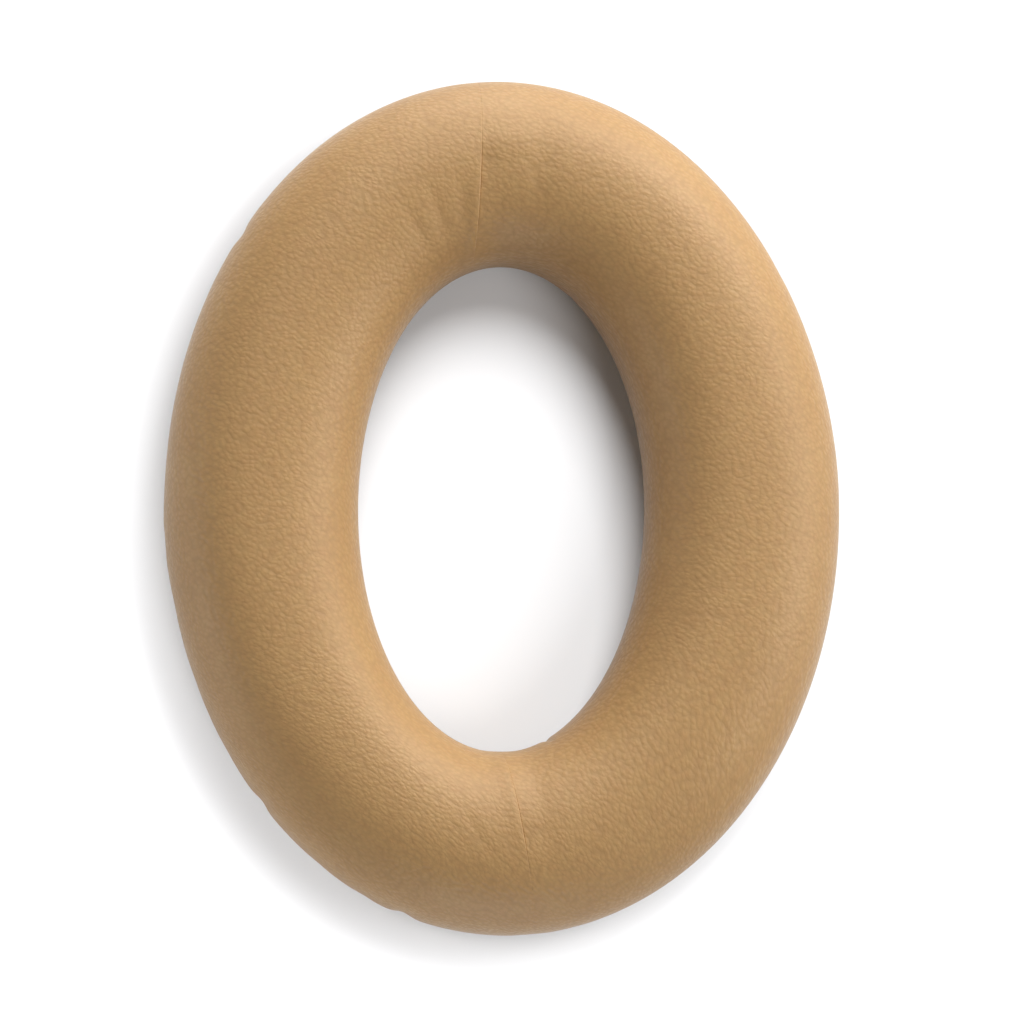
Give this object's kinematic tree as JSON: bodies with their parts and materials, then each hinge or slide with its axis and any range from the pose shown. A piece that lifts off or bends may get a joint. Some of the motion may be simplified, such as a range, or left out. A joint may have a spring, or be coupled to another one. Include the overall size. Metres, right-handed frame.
{
  "type": "headphone ear cushion",
  "caption": "Oval padded ear cushion for around-ear headphones: a seamed tan leatherette cover over a foam ring, sewn to a cloth lining and fixed to a flat plastic snap-in mounting ring.",
  "frame": {"origin": "centre of the oval, on the flat rear face of the mounting ring", "axes": "+Z from the ear cup towards the head, +Y along the oval's long axis towards the top seam, +X to the right seen from the front"},
  "size_m": [0.0772, 0.098, 0.018],
  "materials": {
    "leatherette": "fine wrinkled grain, soft satin sheen",
    "seam_thread": "twisted polyester",
    "edge_thread": "twisted polyester",
    "foam": "slow-recovery polyurethane foam, matt, open-celled",
    "lining_cloth": "matt knitted backing cloth",
    "tape": "milky double-sided tape",
    "moulded_plastic": "fine spark texture"
  },
  "bodies": {
    "root": {"left_cover_panel": "leatherette", "right_cover_panel": "leatherette", "top_seam_thread": "seam_thread", "bottom_seam_thread": "seam_thread", "foam_core": "foam", "rear_lining": "lining_cloth", "outer_edge_thread": "edge_thread", "inner_edge_thread": "edge_thread", "adhesive_ring": "tape", "mounting_ring": "moulded_plastic"}
  },
  "joints": []
}
